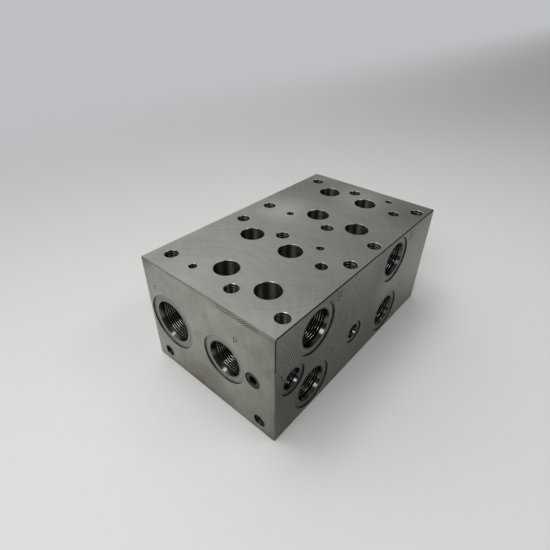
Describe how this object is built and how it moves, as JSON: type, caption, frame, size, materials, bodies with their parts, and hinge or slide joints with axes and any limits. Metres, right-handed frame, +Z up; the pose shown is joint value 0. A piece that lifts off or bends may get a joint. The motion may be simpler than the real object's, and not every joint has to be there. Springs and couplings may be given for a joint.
{
  "type": "hydraulic valve subplate",
  "caption": "Drilled iron manifold block that carries directional valves side by side on its top face and joins them to threaded pressure, tank, work, drain and gauge ports.",
  "frame": {"origin": "middle of the bottom face", "axes": "+X towards the side face with the work ports, +Y along the block away from the end with the plug, +Z up out of the valve face"},
  "size_m": [0.1588, 0.2666, 0.1207],
  "materials": {
    "milled_iron": "face-milled, bare and lightly oiled",
    "black_oxide_steel": "black oxide"
  },
  "bodies": {
    "root": {"subplate_block": "milled_iron", "drain_gallery_plug": "black_oxide_steel"}
  },
  "joints": []
}
